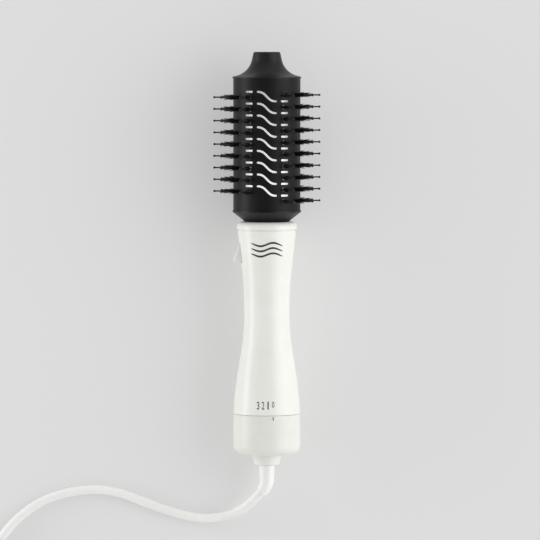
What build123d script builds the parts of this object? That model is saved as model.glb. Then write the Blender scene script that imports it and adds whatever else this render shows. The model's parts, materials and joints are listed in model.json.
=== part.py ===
from build123d import *
from math import asin, atan2, cos, degrees, hypot, pi, radians, sin, sqrt, tan
import os

# Hot air brush, lying on its back on a flat surface, in millimetres.
# +Y runs from the handle's foot towards the tip, +Z is up through the front, +X is to the right.
# Heights are measured along the brush's own axis, from the foot of the dial towards the tip.

os.makedirs("parts", exist_ok=True)

# ---------------------------------------------------------------- driving dimensions
running_gap = 0.07          # radial clearance of a turning or sliding fit
seat_gap = 0.05             # radial clearance of a seat inside one body

# brush head
barrel_r = 26.0
barrel_wall = 1.0
barrel_low = 188.8
barrel_length = 102.2
lip_overhang = 0.6          # how far the rims stand out past the barrel
pin_tip_r = 41.5            # from the axis to the ends of the pins
pin_r = 0.55
ball_r = 0.9
row_pitch = 9.07
right_row_inset = 12.8      # from the barrel's tip end to the first row of pins on the right
left_row_inset = 14.6
column_step = 30.0          # degrees between columns of pins
tuft_root_r = 1.3
tuft_end_r = 1.9
tuft_clear = 0.3            # round a tuft's root where it passes through the barrel
tuft_end = 34.0             # from the axis to the ends of the tufts
vent_width = 1.5
dash_length = 5.3
wave_half = 6.9
wave_drop = 7.3
guide_wall = 0.6
strip_width = 3.0
strip_thick = 1.4
tie_r = 2.0

# outlet spigot and its socket
spigot_r = 15.5
spigot_wall = 1.2
spigot_low = 140.0
spigot_high = 202.0
socket_low = 180.4
socket_high = 207.0
socket_wall = 1.8
spider_thick = 3.5

# grip
grip_low = 31.35
grip_high = 173.4
grip_wall = 2.0
waist_clear = 2.05          # from the outlet spigot's radius to the grip's radius at its waist
collar_top = 180.2
collar_clear = 7.7          # from the outlet spigot's radius to the collar's

# release button
button_low = 148.7
button_high = 163.3
button_half = 5.9
button_gap = 0.25
button_travel = 2.0
latch_half = 3.5
latch_thick = 1.4

# heater
sleeve_low = 96.0
sleeve_high = 168.0
sleeve_wall = 0.4
mica_thick = 0.8
mica_high = 166.0
wire_r = 0.3
thermostat_r = 4.0
thermostat_clear = 1.2      # from the crossing board

# fan and motor
duct_clear = 0.1            # from the fan duct to the grip's inside where it begins to narrow
duct_wall = 1.5
duct_high = 58.0
shaft_r = 1.0
motor_r = 12.3
motor_low = 57.0
motor_high = 84.0
fan_low = 44.0
fan_high = 55.0
blades = 7

# dial and base
dial_r = 25.9
dial_high = 31.1
dial_corner = 6.5
dial_wall = 2.2
core_r = 20.0
core_wall = 1.6
core_low = 3.4
core_flange_high = 36.5
dial_step = 8.7             # degrees from one mark to the next
first_mark = 10.9           # degrees right of the front, where the dial stands when off
grille_low = 0.5
grille_thick = 1.2

# cord swivel, cord, coil and plug
boss_end = -8.5
stem_r = 6.0
stem_end = -8.9
relief_straight = -19.5     # height at which the strain relief starts to bend
relief_bend_r = 14.0
relief_turn = 45.0
relief_drop = 25.0          # how far the bend leans from sideways towards the surface
relief_r = 6.1
relief_end_r = 4.8
cord_r = 3.5
first_run = 26.0
cord_points = [(-50.0, -205.3, 3.6), (-90.0, -191.8, 3.6), (-122.0, -178.8, 3.6), (-155.0, -180.3, 3.6),
               (-184.0, -192.3, 3.6), (-207.0, -213.3, 3.6), (-219.5, -239.3, 3.6), (-219.5, -259.3, 3.6)]
coil_mid_r = 39.5
coil_columns = 3
coil_layers = 2
plug_neck = 18.0
plug_length = 36.0
plug_width = 34.0
plug_thick = 21.0
plug_pin_r = 2.4
plug_pin_length = 19.0
plug_pin_spacing = 19.0
plug_root_r = 1.7           # the moulded-in end of each pin
plug_root_deep = 8.0

# ---------------------------------------------------------------- places worked out from them
barrel_high = barrel_low + barrel_length
right_top_row = barrel_high - right_row_inset
left_top_row = barrel_high - left_row_inset
long_rows = round((barrel_length - right_row_inset - 7.7) / row_pitch) + 1
short_rows = long_rows - 1
spider_low = socket_high - spider_thick
sleeve_out = stem_r + 3.5
boss_r = sleeve_out + 2.1
boss_end_r = stem_r + 3.7

columns = []                # angle right of the front, top row, number of rows
for step in range(1, 6):
    columns.append((column_step * step, right_top_row, long_rows))
    columns.append((-column_step * step, left_top_row, short_rows if step < 5 else long_rows))
pin_sites = [(angle, top - row_pitch * row) for angle, top, rows in columns for row in range(rows)]

# The brush rests on the end pins of its two rearmost columns and on the dial's rounded foot.
rest_row = right_top_row - row_pitch * (long_rows - 1)
rest_reach = (pin_tip_r - ball_r) * cos(radians(180 - 5 * column_step))
rise = rest_row - dial_corner
drop = rest_reach - (dial_r - dial_corner)
lean = atan2(drop, rise) + asin((ball_r - dial_corner) / hypot(rise, drop))
foot_z = (dial_r - dial_corner) * cos(lean) + dial_corner - dial_corner * sin(lean)

cap_high = barrel_high + 20.4
cap_top_r = 9.4
tip_y = cap_high * cos(lean) + cap_top_r * sin(lean)
tail_y = min(stem_end * cos(lean) - stem_r * sin(lean), boss_end * cos(lean) - boss_end_r * sin(lean))
foot_y = -(tip_y + tail_y) / 2

brush = Plane(origin=(0, foot_y, foot_z), x_dir=(1, 0, 0), z_dir=(0, cos(lean), sin(lean)))
section = Plane(origin=brush.origin, x_dir=(1, 0, 0), z_dir=-brush.y_dir)
axis = Axis(brush.origin, brush.z_dir)
print(f"lean {degrees(lean):.3f} degrees, foot at y {foot_y:.3f}, z {foot_z:.3f}")


def outward(angle, height, reach=0.0):
    """Plane that faces out from the axis, at an angle right of the front."""
    turn = radians(angle)
    facing = brush.x_dir * sin(turn) - brush.y_dir * cos(turn)
    place = brush.origin + brush.z_dir * height + facing * reach
    return Plane(origin=place, x_dir=brush.z_dir, z_dir=facing)


def tube(outer, inner, low, high):
    """Plain round tube about the brush's axis, or a solid rod when inner is 0."""
    with BuildPart() as piece:
        with BuildSketch(brush.offset(low)):
            Circle(outer)
            if inner > 0:
                Circle(inner, mode=Mode.SUBTRACT)
        extrude(amount=high - low)
    return piece


def turned(outline):
    """Body turned about the brush's axis from a closed outline of (radius, height) corners."""
    with BuildPart() as piece:
        with BuildSketch(section):
            with BuildLine():
                Polyline(*outline, close=True)
            make_face()
        revolve(axis=axis)
    return piece


# ---------------------------------------------------------------- brush head
guide_r = barrel_r - barrel_wall - 1.3
strip_out = guide_r - guide_wall - 0.1
strip_in = strip_out - strip_thick
tuft_root = guide_r + seat_gap
tuft_hole_r = tuft_root_r + tuft_clear
plug_seat_r = barrel_r - barrel_wall - 0.1
plug_seat_in = plug_seat_r - 1.5
collar_plug_high = barrel_low + 4.0
ring_plug_low = barrel_high - 4.0
dash_centre = barrel_r * 0.523

with BuildPart() as barrel:
    with BuildSketch(brush.offset(barrel_low)):
        Circle(barrel_r)
        Circle(barrel_r - barrel_wall, mode=Mode.SUBTRACT)
    extrude(amount=barrel_high - barrel_low)
    # vents, moulded straight through front and back: a dash, a wave and a dash in each row
    with BuildSketch(section):
        for row in range(short_rows):
            left_h = left_top_row + row_pitch / 2 - row_pitch * row
            right_h = left_h - wave_drop
            with Locations((-dash_centre, left_h), (dash_centre, right_h)):
                SlotOverall(dash_length, vent_width)
            with BuildLine() as wave:
                Bezier((-wave_half, left_h), (0, left_h), (0, right_h), (wave_half, right_h))
            trace(wave.line, line_width=vent_width)
            with Locations((-wave_half, left_h), (wave_half, right_h)):
                Circle(vent_width / 2)
    extrude(amount=barrel_r + 1, both=True, mode=Mode.SUBTRACT)
    # one hole for each tuft
    for angle, height in pin_sites:
        with BuildSketch(outward(angle, height, strip_in)):
            Circle(tuft_hole_r)
    extrude(amount=barrel_r, mode=Mode.SUBTRACT)
barrel.part.label = "barrel"
export_step(barrel.part, "parts/barrel.step")

with BuildPart() as air_guide:
    with BuildSketch(brush.offset(collar_plug_high)):
        Circle(guide_r)
        Circle(guide_r - guide_wall, mode=Mode.SUBTRACT)
    extrude(amount=ring_plug_low - collar_plug_high)
    # pin holes, and round air holes at the sides, midway between the columns
    for angle, height in pin_sites:
        with BuildSketch(outward(angle, height, strip_in)):
            Circle(pin_r + 0.25)
    for angle in (-105, -75, 75, 105):
        for row in range(short_rows):
            with BuildSketch(outward(angle, left_top_row - row_pitch * row, strip_in)):
                Circle(2.0)
    extrude(amount=barrel_r, mode=Mode.SUBTRACT)
air_guide.part.label = "air_guide"
export_step(air_guide.part, "parts/air_guide.step")

with BuildPart() as pin_strips:
    for angle, top, rows in columns:
        length = row_pitch * (rows - 1) + 6.0
        with BuildSketch(outward(angle, top - row_pitch * (rows - 1) / 2, strip_in)):
            Rectangle(length, strip_width)
    extrude(amount=strip_thick)
    for angle, height in pin_sites:
        with BuildSketch(outward(angle, height, strip_in + strip_thick / 2)):
            Circle(pin_r)
    extrude(amount=pin_tip_r - ball_r - strip_in - strip_thick / 2)
    with Locations(*[outward(angle, height, pin_tip_r - ball_r).location for angle, height in pin_sites]):
        Sphere(ball_r)
pin_strips.part.label = "pin_strips"
export_step(pin_strips.part, "parts/pin_strips.step")

with BuildPart() as bristle_tufts:
    flare = degrees(atan2(tuft_end_r - tuft_root_r, tuft_end - tuft_root))
    for angle, height in pin_sites:
        with BuildSketch(outward(angle, height, tuft_root)):
            Circle(tuft_root_r)
    extrude(amount=tuft_end - tuft_root, taper=-flare)
    for angle, height in pin_sites:
        with BuildSketch(outward(angle, height, tuft_root)):
            Circle(pin_r + seat_gap)
    extrude(amount=tuft_end - tuft_root, mode=Mode.SUBTRACT)
bristle_tufts.part.label = "bristle_tufts"
export_step(bristle_tufts.part, "parts/bristle_tufts.step")

socket_r = spigot_r + running_gap
socket_out = socket_r + socket_wall
cone_r = socket_out - 0.07
cone_high = barrel_low - 1.0
with BuildPart() as barrel_collar:
    with BuildSketch(section):
        with BuildLine():
            Polyline((socket_r, socket_low), (cone_r, socket_low), (barrel_r + lip_overhang, cone_high),
                     (barrel_r + lip_overhang, barrel_low), (plug_seat_r, barrel_low),
                     (plug_seat_r, collar_plug_high), (plug_seat_in, collar_plug_high),
                     (plug_seat_in, cone_high),
                     (socket_out, socket_low + 3.0), (socket_out, socket_high), (socket_r, socket_high),
                     close=True)
        make_face()
    revolve(axis=axis)
    # spider that the tie bolt pulls on: a hub on three spokes across the socket's mouth
    with BuildSketch(brush.offset(spider_low)):
        Circle(5.0)
        for spoke in range(3):
            with BuildLine() as spoke_line:
                PolarLine((0, 0), socket_r + 0.5, angle=90 + 120 * spoke)
            trace(spoke_line.line, line_width=2.4)
        Circle(tie_r + seat_gap, mode=Mode.SUBTRACT)
    extrude(amount=socket_high - spider_low)
    # keyway for the latch's nose, open towards the handle
    with BuildSketch(brush.offset(socket_low)):
        with Locations((-spigot_r, 0)):
            Rectangle(2.2, 2 * latch_half + 0.6)
    extrude(amount=12.5, mode=Mode.SUBTRACT)
barrel_collar.part.label = "barrel_collar"
export_step(barrel_collar.part, "parts/barrel_collar.step")

rim_h = barrel_high + 1.2
cap_low = barrel_high + 2.3
cap_edge_r = barrel_r - 3.5
with BuildPart() as end_ring:
    with BuildSketch(section):
        with BuildLine():
            Polyline((plug_seat_in, ring_plug_low), (plug_seat_r, ring_plug_low),
                     (plug_seat_r, barrel_high),
                     (barrel_r + lip_overhang, barrel_high), (barrel_r + lip_overhang, rim_h),
                     (cap_edge_r, cap_low),
                     (cap_edge_r - 3.0, cap_low), (cap_edge_r - 3.0, barrel_high),
                     (plug_seat_in, barrel_high - 0.5),
                     close=True)
        make_face()
    revolve(axis=axis)
end_ring.part.label = "end_ring"
export_step(end_ring.part, "parts/end_ring.step")

tie_high = cap_high - 5.4
neck_high = cap_high - 6.0
neck_r = 11.6
flare_r = neck_r + (cap_edge_r - neck_r) * 0.257
with BuildPart() as tip_cap:
    with BuildSketch(section):
        with BuildLine():
            Line((0, cap_high), (cap_top_r, cap_high))
            RadiusArc((cap_top_r, cap_high), (cap_top_r + 1.1, cap_high - 1.2), 1.2)
            Line((cap_top_r + 1.1, cap_high - 1.2), (neck_r, neck_high))
            ThreePointArc((neck_r, neck_high), (flare_r, cap_low + 5.8), (cap_edge_r, cap_low))
            Line((cap_edge_r, cap_low), (cap_edge_r - 3.3, cap_low))
            ThreePointArc((cap_edge_r - 3.3, cap_low), (flare_r - 1.8, cap_low + 5.0),
                          (neck_r - 2.0, neck_high))
            Line((neck_r - 2.0, neck_high), (neck_r - 3.0, cap_high - 2.2))
            Line((neck_r - 3.0, cap_high - 2.2), (0, cap_high - 2.2))
            Line((0, cap_high - 2.2), (0, cap_high))
        make_face()
    revolve(axis=axis)
    with BuildSketch(brush.offset(cap_low)):
        Circle(4.5)
    extrude(amount=cap_high - 1.4 - cap_low)
    with BuildSketch(brush.offset(cap_low)):
        Circle(tie_r + seat_gap)
    extrude(amount=tie_high + 0.5 - cap_low, mode=Mode.SUBTRACT)
tip_cap.part.label = "tip_cap"
export_step(tip_cap.part, "parts/tip_cap.step")

with BuildPart() as tie_bolt:
    with BuildSketch(brush.offset(spider_low)):
        Circle(tie_r)
    extrude(amount=tie_high - spider_low)
    with BuildSketch(brush.offset(spider_low)):
        Circle(3.4)
    extrude(amount=-2.4)
tie_bolt.part.label = "tie_bolt"
export_step(tie_bolt.part, "parts/tie_bolt.step")

# ---------------------------------------------------------------- grip shells and collar
window_low = button_low - button_gap
window_high = button_high + button_gap
window_half = button_half + 0.2
grip_screw_h = 90.0
grip_screw_x = 8.0
screw_boss_r = 2.6
collar_r = spigot_r + collar_clear
waist_r = spigot_r + waist_clear
foot_r = dial_r - 0.05
top_r = collar_r - 0.6
flare_foot = foot_r - waist_r
flare_top = top_r - waist_r
belly_r = waist_r + 0.452 * flare_foot
duct_r = belly_r - grip_wall - duct_clear
grip_outline = [(foot_r, grip_low), (foot_r - 0.45, 40.0), (waist_r + 0.777 * flare_foot, 53.0),
                (belly_r, 71.0), (waist_r + 0.115 * flare_foot, 90.0),
                (waist_r, 112.0), (waist_r + 0.168 * flare_top, 134.5),
                (waist_r + 0.604 * flare_top, 155.0), (top_r, grip_high)]
inner_outline = [(r - grip_wall, h) for r, h in grip_outline]


def grip_shell(turn):
    """Half of the grip, turned by plus or minus 180 degrees, with the button's window cut out."""
    with BuildPart() as piece:
        with BuildSketch(section):
            with BuildLine():
                Spline(*grip_outline)
                Line(grip_outline[-1], inner_outline[-1])
                Spline(*inner_outline[::-1])
                Line(inner_outline[0], grip_outline[0])
            make_face()
        revolve(axis=axis, revolution_arc=turn)
        with BuildSketch(brush.offset(window_low)):
            with Locations((-top_r, 0)):
                Rectangle(20, 2 * window_half)
        extrude(amount=window_high - window_low, mode=Mode.SUBTRACT)
    return piece


def screw_sites(reach=0.0):
    """Places of the two grip screws on the plane between the shells, moved out by reach."""
    level = section.offset(reach)
    return [Plane(origin=level.from_local_coords((side * grip_screw_x, grip_screw_h, 0)),
                  z_dir=section.z_dir)
            for side in (-1, 1)]


boss_reach = 15.0
front_shell = grip_shell(-180)
with BuildPart() as grip_front:
    add(front_shell.part)
    for site in screw_sites():
        with BuildSketch(site):
            Circle(screw_boss_r)
    extrude(amount=boss_reach)
    for site in screw_sites():
        with BuildSketch(site):
            Circle(1.25)
    extrude(amount=9.0, mode=Mode.SUBTRACT)
grip_front.part.label = "grip_front"
export_step(grip_front.part, "parts/grip_front.step")

screw_head_r = 2.3
screw_head_at = -13.0
rear_shell = grip_shell(180)
with BuildPart() as grip_rear:
    add(rear_shell.part)
    for site in screw_sites():
        with BuildSketch(site):
            Circle(screw_boss_r)
            Circle(1.25, mode=Mode.SUBTRACT)
    extrude(amount=-boss_reach)
    for site in screw_sites():
        with BuildSketch(site):
            Circle(1.25)
    extrude(amount=-dial_r, mode=Mode.SUBTRACT)
    for site in screw_sites(screw_head_at):
        with BuildSketch(site):
            Circle(screw_head_r + 0.2)
    extrude(amount=-dial_r, mode=Mode.SUBTRACT)
grip_rear.part.label = "grip_rear"
export_step(grip_rear.part, "parts/grip_rear.step")

with BuildPart() as grip_screws:
    for site in screw_sites(screw_head_at):
        with BuildSketch(site):
            Circle(screw_head_r)
    extrude(amount=-1.5)
    for site in screw_sites(screw_head_at):
        with BuildSketch(site):
            Circle(1.2)
    extrude(amount=8.5 - screw_head_at)
grip_screws.part.label = "grip_screws"
export_step(grip_screws.part, "parts/grip_screws.step")

groove_high = 174.6
collar_skirt_low = 169.0
flange_high = 173.0
skirt_r = collar_r - 3.3
flange_r = skirt_r - 1.1
pocket_half = latch_half + 0.3
pocket_high = 177.6
arm_in = spigot_r + button_travel + 0.3
pocket_reach = arm_in + latch_thick + 1.4
with BuildPart() as top_collar:
    with BuildSketch(section):
        with BuildLine():
            Line((spigot_r + seat_gap, collar_top), (collar_r - 3.6, collar_top))
            ThreePointArc((collar_r - 3.6, collar_top), (collar_r - 1.1, collar_top - 1.3),
                          (collar_r, collar_top - 3.8))
            Polyline((collar_r, collar_top - 3.8), (collar_r, groove_high), (collar_r - 1.2, groove_high),
                     (collar_r - 1.2, grip_high), (skirt_r, grip_high), (skirt_r, collar_skirt_low),
                     (skirt_r - 1.0, collar_skirt_low), (skirt_r - 1.0, flange_high),
                     (spigot_r + seat_gap, flange_high), (spigot_r + seat_gap, collar_top))
        make_face()
    revolve(axis=axis)
    with BuildSketch(brush.offset(collar_skirt_low - 1)):
        with Locations((-pocket_reach / 2 - 6, 0)):
            Rectangle(pocket_reach - 12, 2 * pocket_half)
    extrude(amount=pocket_high - collar_skirt_low + 1, mode=Mode.SUBTRACT)
top_collar.part.label = "top_collar"
export_step(top_collar.part, "parts/top_collar.step")

# ---------------------------------------------------------------- outlet spigot and release latch
spigot_in = spigot_r - spigot_wall
slot_low = 174.0
slot_high = 192.5
with BuildPart() as outlet_spigot:
    with BuildSketch(brush.offset(spigot_low)):
        Circle(spigot_r)
        Circle(spigot_in, mode=Mode.SUBTRACT)
    extrude(amount=spigot_high - spigot_low)
    with BuildSketch(brush.offset(flange_high - 2.0)):
        Circle(flange_r)
        Circle(spigot_r - 0.2, mode=Mode.SUBTRACT)
        with Locations((-pocket_reach, 0)):
            Rectangle(2 * (pocket_reach - spigot_r), 2 * pocket_half, mode=Mode.SUBTRACT)
    extrude(amount=2.0)
    with BuildSketch(brush.offset(slot_low)):
        with Locations((-spigot_r, 0)):
            Rectangle(7, 2 * pocket_half)
    extrude(amount=slot_high - slot_low, mode=Mode.SUBTRACT)
outlet_spigot.part.label = "outlet_spigot"
export_step(outlet_spigot.part, "parts/outlet_spigot.step")

grid_low = 196.0
with BuildPart() as outlet_grid:
    with BuildSketch(brush.offset(grid_low)):
        Circle(spigot_in - seat_gap)
        Circle(spigot_in - 1.3, mode=Mode.SUBTRACT)
        for ring_r in (4.0, 8.5):
            Circle(ring_r + 0.5)
            Circle(ring_r - 0.5, mode=Mode.SUBTRACT)
        for bar in range(3):
            with Locations(Rotation(0, 0, 60 * bar)):
                Rectangle(2 * spigot_in - 1.5, 1.0)
    extrude(amount=1.5)
outlet_grid.part.label = "outlet_grid"
export_step(outlet_grid.part, "parts/outlet_grid.step")

arm_high_out = spigot_r - 0.5
nose = 0.85                 # how far the latch's nose stands out past the spigot
with BuildPart() as release_latch:
    with BuildSketch(section):
        with BuildLine():
            Polyline((-arm_in, button_high), (-arm_in - latch_thick, button_high),
                     (-arm_in - latch_thick, 176.5),
                     (-arm_high_out, 176.5), (-arm_high_out, 187.0), (-spigot_r - nose, 187.0),
                     (-spigot_r - nose, 189.0), (-arm_high_out, 191.5),
                     (-arm_high_out + latch_thick, 191.5),
                     (-arm_high_out + latch_thick, 174.8), (-arm_in, 174.8), close=True)
        make_face()
    extrude(amount=latch_half, both=True)
release_latch.part.label = "release_latch"
export_step(release_latch.part, "parts/release_latch.step")

ledge_r = spigot_r + 10.2    # the thumb ledge's distance from the axis
with BuildPart() as release_button:
    with BuildSketch(section):
        with BuildLine():
            Polyline((-arm_in, button_low), (-ledge_r + 0.7, button_low), (-ledge_r, button_low + 1.7),
                     (-ledge_r + 2.1, button_low + 7.3), (-ledge_r + 3.95, button_high),
                     (-arm_in, button_high),
                     close=True)
        make_face()
    extrude(amount=button_half, both=True)
    outer_edges = [edge for edge in release_button.edges() if edge.bounding_box().max.X < -ledge_r + 4.7]
    fillet(outer_edges, radius=0.6)
release_button.part.label = "release_button"
export_step(release_button.part, "parts/release_button.step")

spring_thick = 0.2
with BuildPart() as release_spring:
    with BuildSketch(section):
        with BuildLine() as leaf:
            ThreePointArc((-spigot_r - 0.25, 151.5), (-arm_in + 0.2, 157.0), (-spigot_r - 0.25, 162.5))
        trace(leaf.line, line_width=spring_thick)
    extrude(amount=2.5, both=True)
release_spring.part.label = "release_spring"
export_step(release_spring.part, "parts/release_spring.step")

# ---------------------------------------------------------------- heater
sleeve_r = spigot_in - 0.1
mica_half = sleeve_r - sleeve_wall - 1.9
mica_sleeve = tube(sleeve_r, sleeve_r - sleeve_wall, sleeve_low, sleeve_high)
mica_sleeve.part.label = "mica_sleeve"
export_step(mica_sleeve.part, "parts/mica_sleeve.step")

lap_h = (sleeve_low + mica_high) / 2
lap_half = mica_thick / 2 + seat_gap


def mica_board(along_x, slot_at):
    """Flat board across the axis, slotted for half its height so that two of them cross."""
    size = (2 * mica_half, mica_thick) if along_x else (mica_thick, 2 * mica_half)
    slot = (2 * lap_half, 2 * mica_thick) if along_x else (2 * mica_thick, 2 * lap_half)
    with BuildPart() as piece:
        with BuildSketch(brush.offset(sleeve_low)):
            Rectangle(*size)
        extrude(amount=mica_high - sleeve_low)
        with BuildSketch(brush.offset(slot_at)):
            Rectangle(*slot)
        extrude(amount=lap_h - sleeve_low, mode=Mode.SUBTRACT)
    return piece


mica_board_a = mica_board(True, sleeve_low)
mica_board_a.part.label = "mica_board_a"
export_step(mica_board_a.part, "parts/mica_board_a.step")

mica_board_b = mica_board(False, lap_h)
mica_board_b.part.label = "mica_board_b"
export_step(mica_board_b.part, "parts/mica_board_b.step")

winding_r = mica_half + wire_r + 0.3
with BuildPart() as heating_coil:
    with BuildLine() as winding:
        Helix(pitch=6, height=60, radius=winding_r, center=brush.offset(sleeve_low + 5).origin,
              direction=brush.z_dir)
    with BuildSketch(Plane(origin=winding.line @ 0, z_dir=winding.line % 0)):
        Circle(wire_r)
    sweep(path=winding.line, is_frenet=True)
heating_coil.part.label = "heating_coil"
export_step(heating_coil.part, "parts/heating_coil.step")

board_face = section.offset(mica_thick / 2)
with BuildPart() as thermostat:
    with BuildSketch(board_face):
        with Locations((mica_thick / 2 + thermostat_clear + thermostat_r, mica_high - 8.0)):
            Circle(thermostat_r)
    extrude(amount=3.0)
thermostat.part.label = "thermostat"
export_step(thermostat.part, "parts/thermostat.step")

with BuildPart() as thermal_fuse:
    with BuildSketch(brush.offset(144.0)):
        with Locations((-6.0, -mica_thick / 2 - 1.5)):
            Circle(1.5)
    extrude(amount=9.0)
thermal_fuse.part.label = "thermal_fuse"
export_step(thermal_fuse.part, "parts/thermal_fuse.step")

heater_base = tube(spigot_r - 0.2, mica_half - 2.9, sleeve_low - 2.8, sleeve_low)
heater_base.part.label = "heater_base"
export_step(heater_base.part, "parts/heater_base.step")

# ---------------------------------------------------------------- fan and motor
fan_housing = tube(duct_r + duct_wall, duct_r, core_flange_high, duct_high)
fan_housing.part.label = "fan_housing"
export_step(fan_housing.part, "parts/fan_housing.step")

cup_r = motor_r + seat_gap
with BuildPart() as motor_mount:
    with BuildSketch(brush.offset(duct_high)):
        Circle(duct_r + 1.2)
        Circle(duct_r - 0.4, mode=Mode.SUBTRACT)
        for vane in range(5):
            with BuildLine() as vane_line:
                PolarLine(Vector(cup_r + 0.6, 0).rotate(Axis.Z, 72 * vane), duct_r - 0.2 - cup_r,
                          angle=72 * vane)
            trace(vane_line.line, line_width=1.4)
    extrude(amount=3.0)
    with BuildSketch(brush.offset(duct_high)):
        Circle(cup_r + 1.2)
        Circle(cup_r, mode=Mode.SUBTRACT)
    extrude(amount=8.0)
motor_mount.part.label = "motor_mount"
export_step(motor_mount.part, "parts/motor_mount.step")

with BuildPart() as motor_can:
    with BuildSketch(brush.offset(motor_low)):
        Circle(motor_r)
    extrude(amount=motor_high - motor_low)
    with BuildSketch(brush.offset(motor_low)):
        Circle(shaft_r + running_gap)
    extrude(amount=6.0, mode=Mode.SUBTRACT)
motor_can.part.label = "motor_can"
export_step(motor_can.part, "parts/motor_can.step")

motor_end_bell = tube(motor_r - 1.3, 0, motor_high, motor_high + 2.5)
motor_end_bell.part.label = "motor_end_bell"
export_step(motor_end_bell.part, "parts/motor_end_bell.step")

motor_shaft = tube(shaft_r, 0, fan_low + 1.0, motor_low + 5.5)
motor_shaft.part.label = "motor_shaft"
export_step(motor_shaft.part, "parts/motor_shaft.step")

hub_r = 8.5
blade_reach = duct_r - 1.0
with BuildPart() as impeller:
    with BuildSketch(brush.offset(fan_low)):
        Circle(hub_r)
    extrude(amount=fan_high - fan_low)
    for blade in range(blades):
        with BuildSketch(outward(360 / blades * blade, (fan_low + fan_high) / 2, hub_r - 1.0)):
            Rectangle(10.0, 1.2, rotation=40)
    extrude(amount=blade_reach - hub_r + 1.0)
    with BuildSketch(brush.offset(fan_low)):
        Circle(shaft_r + 0.01)
    extrude(amount=fan_high - fan_low, mode=Mode.SUBTRACT)
impeller.part.label = "impeller"
export_step(impeller.part, "parts/impeller.step")

# ---------------------------------------------------------------- base, dial and switch
core_in = core_r - core_wall
base_screw_r = core_in - 2.4
pocket_in = core_in - 5.0
base_screw_angles = (90, 210, 330)
detent_h = 20.0
wiper_low = 24.6
with BuildPart() as base_core:
    with BuildSketch(section):
        with BuildLine():
            Polyline((core_in, core_low), (core_r, core_low), (core_r, 32.0), (dial_r - 2.5, 32.0),
                     (dial_r - 2.5, core_flange_high),
                     (duct_r, core_flange_high), (duct_r, 33.6), (core_in, 32.0), close=True)
        make_face()
    revolve(axis=axis)
    # bosses for the base screws, against the wall
    with BuildSketch(brush.offset(core_low)):
        with PolarLocations(base_screw_r, 3, start_angle=90):
            Circle(2.5)
    extrude(amount=10.0)
    with BuildSketch(brush.offset(core_low)):
        with PolarLocations(base_screw_r, 3, start_angle=90):
            Circle(1.05)
    extrude(amount=9.0, mode=Mode.SUBTRACT)
    # pocket for the detent's ball and spring, at the rear
    with BuildSketch(outward(180, detent_h, pocket_in)):
        Circle(2.7)
    extrude(amount=core_in - pocket_in + 0.5)
    with BuildSketch(outward(180, detent_h, pocket_in + 0.8)):
        Circle(1.6)
    extrude(amount=core_r - pocket_in + 0.2, mode=Mode.SUBTRACT)
    # window for the dial's wiper, at the front
    with BuildSketch(brush.offset(wiper_low - 0.8)):
        with Locations((-0.5, -core_r)):
            Rectangle(17.0, 8.0)
    extrude(amount=2.0, mode=Mode.SUBTRACT)
base_core.part.label = "base_core"
export_step(base_core.part, "parts/base_core.step")

dial_bore = core_r + running_gap
dial_room = dial_r - dial_wall
shelf_low = grille_low + grille_thick + 0.2
shelf_high = core_low - 0.3
track_r = core_r + 0.75
grille_r = core_in + 0.7
with BuildPart() as dial_ring:
    with BuildSketch(section):
        with BuildLine():
            Line((dial_bore, dial_high), (dial_r, dial_high))
            Line((dial_r, dial_high), (dial_r, dial_corner))
            RadiusArc((dial_r, dial_corner), (dial_r - dial_corner, 0), dial_corner)
            Polyline((dial_r - dial_corner, 0), (grille_r + 0.2, 0), (grille_r + 0.2, shelf_low),
                     (core_in - 0.2, shelf_low), (core_in - 0.2, shelf_high), (dial_bore, shelf_high),
                     (dial_bore, 6.6), (dial_room, 6.6), (dial_room, detent_h - 2), (track_r, detent_h - 2),
                     (track_r, detent_h + 2), (dial_room, detent_h + 2), (dial_room, 27.0),
                     (dial_bore, 27.0),
                     (dial_bore, dial_high))
        make_face()
    revolve(axis=axis)
    # detent notches, one for each mark
    with Locations(*[outward(180 + dial_step * mark, detent_h, track_r + 0.6).location
                     for mark in range(4)]):
        Sphere(1.6, mode=Mode.SUBTRACT)
dial_ring.part.label = "dial_ring"
export_step(dial_ring.part, "parts/dial_ring.step")

with BuildPart() as dial_wiper:
    with BuildSketch(outward(first_mark, wiper_low + 0.2, core_in - 4.4)):
        Rectangle(0.4, 3.0)
    extrude(amount=dial_room - core_in + 4.25)
dial_wiper.part.label = "dial_wiper"
export_step(dial_wiper.part, "parts/dial_wiper.step")

board_low = wiper_low + 1.4
with BuildPart() as switch_board:
    with BuildSketch(brush.offset(board_low)):
        Circle(core_in - seat_gap)
        with Locations((0, core_r - 5.0)):
            Rectangle(4 * core_r, 2 * core_r, mode=Mode.SUBTRACT)
    extrude(amount=1.4)
switch_board.part.label = "switch_board"
export_step(switch_board.part, "parts/switch_board.step")

with BuildPart() as switch_contacts:
    for mark in range(4):
        turn = radians(first_mark - dial_step * mark)
        with BuildSketch(brush.offset(board_low)):
            with Locations(((core_in - 2.8) * sin(turn), -(core_in - 2.8) * cos(turn))):
                Circle(0.9)
    extrude(amount=-0.3)
switch_contacts.part.label = "switch_contacts"
export_step(switch_contacts.part, "parts/switch_contacts.step")

with BuildPart() as detent_ball:
    with Locations(outward(180, detent_h, core_r - 0.9).location):
        Sphere(1.5)
detent_ball.part.label = "detent_ball"
export_step(detent_ball.part, "parts/detent_ball.step")

spring_start = outward(180, detent_h, pocket_in + 1.1)
with BuildPart() as detent_spring:
    with BuildLine() as spring_line:
        Helix(pitch=0.7, height=2.8, radius=1.15, center=spring_start.origin, direction=spring_start.z_dir)
    with BuildSketch(Plane(origin=spring_line.line @ 0, z_dir=spring_line.line % 0)):
        Circle(0.2)
    sweep(path=spring_line.line, is_frenet=True)
detent_spring.part.label = "detent_spring"
export_step(detent_spring.part, "parts/detent_spring.step")

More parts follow.
